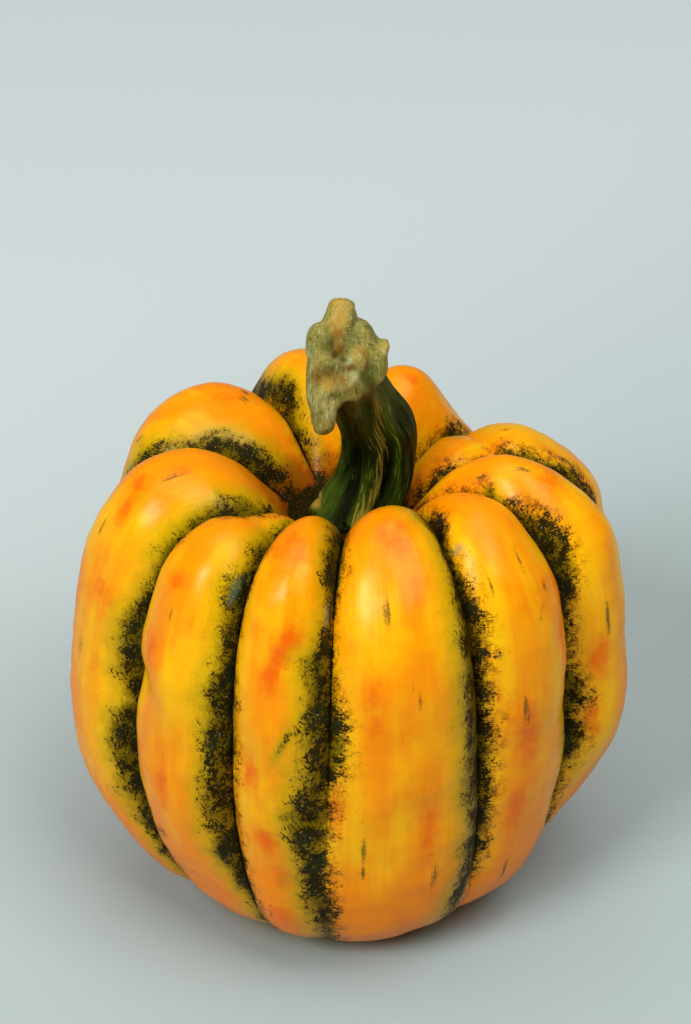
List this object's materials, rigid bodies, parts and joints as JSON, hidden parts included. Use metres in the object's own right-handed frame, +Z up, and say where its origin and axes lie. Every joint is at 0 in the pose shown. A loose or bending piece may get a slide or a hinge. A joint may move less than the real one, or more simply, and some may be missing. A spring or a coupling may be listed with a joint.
{
  "type": "ornamental pumpkin",
  "caption": "Deeply ribbed ornamental pumpkin with dark striped grooves and a curved, gnarled stalk, standing on a small flat spot.",
  "frame": {"origin": "middle of the flat spot that the fruit stands on, straight under its crown scar", "axes": "+Z up through the stalk, -Y towards the front, +X to the right seen from the front"},
  "size_m": [0.1555, 0.1441, 0.1851],
  "materials": {
    "skin": "waxy rind, satin to semi-gloss, yellow-orange with dark green ragged stripes in the grooves",
    "stalk": "dry ribbed stalk, satin dark green with pale streaks, ochre and grey-green at the gnarled end"
  },
  "bodies": {
    "root": {"fruit": "skin", "stem": "stalk"}
  },
  "joints": []
}
